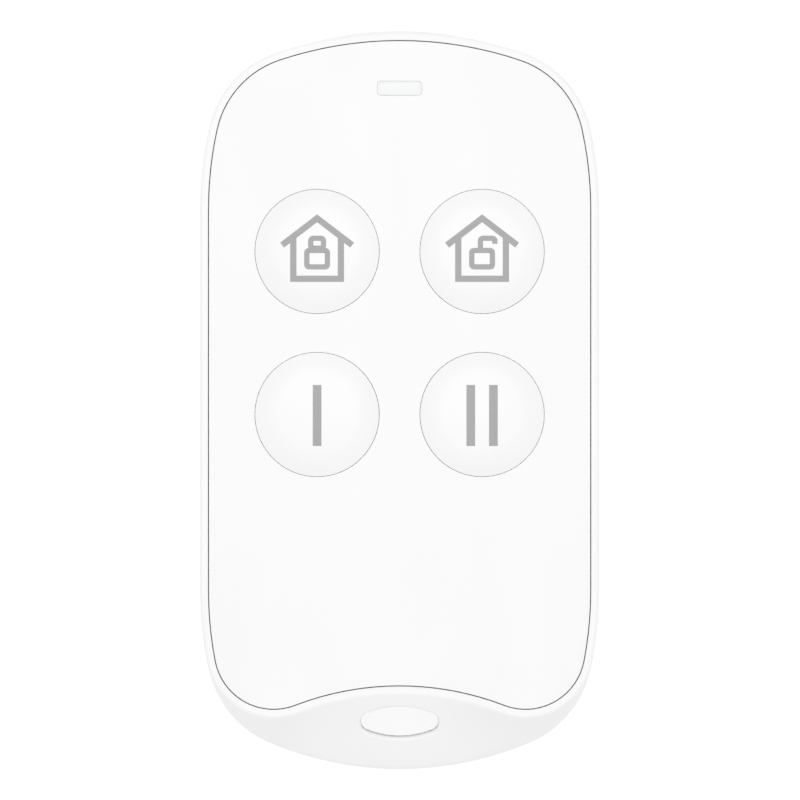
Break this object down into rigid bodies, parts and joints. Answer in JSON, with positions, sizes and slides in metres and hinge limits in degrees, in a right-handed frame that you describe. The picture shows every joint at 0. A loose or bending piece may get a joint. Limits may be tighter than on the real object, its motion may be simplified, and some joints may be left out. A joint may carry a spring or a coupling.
{
  "type": "alarm key fob",
  "caption": "White alarm remote for a key ring: rounded two-part shell, crowned face panel, four round domed buttons, indicator window and an oval eyelet in a sloping apron.",
  "frame": {"origin": "centre of the outline, on the back face that the fob lies on", "axes": "+X across the face to the right, +Y along the fob towards the indicator window, +Z out of the face"},
  "size_m": [0.0356, 0.066, 0.0125],
  "materials": {
    "shell_plastic": "white ABS, finely textured",
    "panel_plastic": "white ABS, smooth satin",
    "cap_plastic": "white ABS, smooth",
    "window_plastic": "milky translucent acrylic",
    "silicone": "soft matt silicone",
    "board_laminate": "glass epoxy with solder mask",
    "switch_plastic": "moulded nylon",
    "sheet_steel": "tinned sheet",
    "spring_steel": "stainless spring sheet",
    "cell_steel": "nickel plated",
    "cell_electrodes": "pressed powder and lithium",
    "screw_steel": "zinc plated",
    "tinned_wire": "tinned copper",
    "chip_epoxy": "moulded epoxy",
    "led_package": "white ceramic",
    "led_epoxy": "clear epoxy"
  },
  "bodies": {
    "housing": {"antenna_loop": "tinned_wire", "arm_snap_dome": "spring_steel", "cell_can": "cell_steel", "cell_cap": "cell_steel", "cell_core": "cell_electrodes", "cell_gasket": "switch_plastic", "chip_capacitors": "led_package", "chip_resistors": "chip_epoxy", "circuit_board": "board_laminate", "cover_screws": "screw_steel", "crystal_can": "sheet_steel", "disarm_snap_dome": "spring_steel", "encoder_chip": "chip_epoxy", "face_panel": "panel_plastic", "front_housing": "shell_plastic", "indicator_led": "led_package", "keypad_mat": "silicone", "led_lens": "led_epoxy", "light_guide": "window_plastic", "negative_contact": "sheet_steel", "one_snap_dome": "spring_steel", "positive_clip": "sheet_steel", "rear_cover": "shell_plastic", "resonator_can": "sheet_steel", "switch_bases": "switch_plastic", "switch_frames": "sheet_steel", "two_snap_dome": "spring_steel"},
    "arm_button": {"arm_button": "cap_plastic", "arm_plunger": "switch_plastic"},
    "disarm_button": {"disarm_button": "cap_plastic", "disarm_plunger": "switch_plastic"},
    "one_button": {"one_button": "cap_plastic", "one_plunger": "switch_plastic"},
    "two_button": {"two_button": "cap_plastic", "two_plunger": "switch_plastic"}
  },
  "joints": [
    {"name": "arm_press", "type": "slide", "parent": "housing", "child": "arm_button", "axis": [0, 0, -1], "range_m": [0, 0.00025], "stiffness_N_per_m": 5000, "deforming": ["arm_snap_dome"]},
    {"name": "disarm_press", "type": "slide", "parent": "housing", "child": "disarm_button", "axis": [0, 0, -1], "range_m": [0, 0.00025], "stiffness_N_per_m": 5000, "deforming": ["disarm_snap_dome"]},
    {"name": "one_press", "type": "slide", "parent": "housing", "child": "one_button", "axis": [0, 0, -1], "range_m": [0, 0.00025], "stiffness_N_per_m": 5000, "deforming": ["one_snap_dome"]},
    {"name": "two_press", "type": "slide", "parent": "housing", "child": "two_button", "axis": [0, 0, -1], "range_m": [0, 0.00025], "stiffness_N_per_m": 5000, "deforming": ["two_snap_dome"]}
  ]
}
